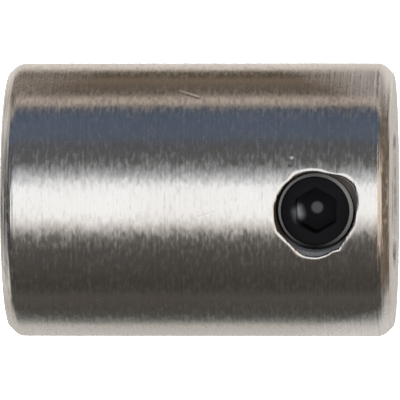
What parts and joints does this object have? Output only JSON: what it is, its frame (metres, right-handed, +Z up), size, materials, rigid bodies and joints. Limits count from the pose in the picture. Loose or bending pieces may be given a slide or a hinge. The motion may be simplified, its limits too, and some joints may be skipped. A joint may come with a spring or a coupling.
{
  "type": "rigid shaft coupling",
  "caption": "Rigid cylindrical steel sleeve coupling: joins shafts end to end in one through bore and grips them with radial hexagon-socket set screws near its ends.",
  "frame": {"origin": "middle of the bore, which is also the centre of the bounding box", "axes": "+X along the bore towards the end whose set screw faces up, +Z up along that screw's axis, +Y across"},
  "size_m": [0.0198, 0.014, 0.014],
  "materials": {
    "plated_steel": "gloss",
    "black_oxide_steel": "satin"
  },
  "bodies": {
    "sleeve": {"sleeve": "plated_steel"},
    "right_screw": {"right_set_screw": "black_oxide_steel"},
    "left_screw": {"left_set_screw": "black_oxide_steel"}
  },
  "joints": [
    {"name": "right_screw_drive", "type": "slide", "parent": "sleeve", "child": "right_screw", "axis": [0, 0, -1], "range_m": [-0.0014, 0.0007]},
    {"name": "left_screw_drive", "type": "slide", "parent": "sleeve", "child": "left_screw", "axis": [0, 0, 1], "range_m": [-0.0014, 0.0007]}
  ]
}
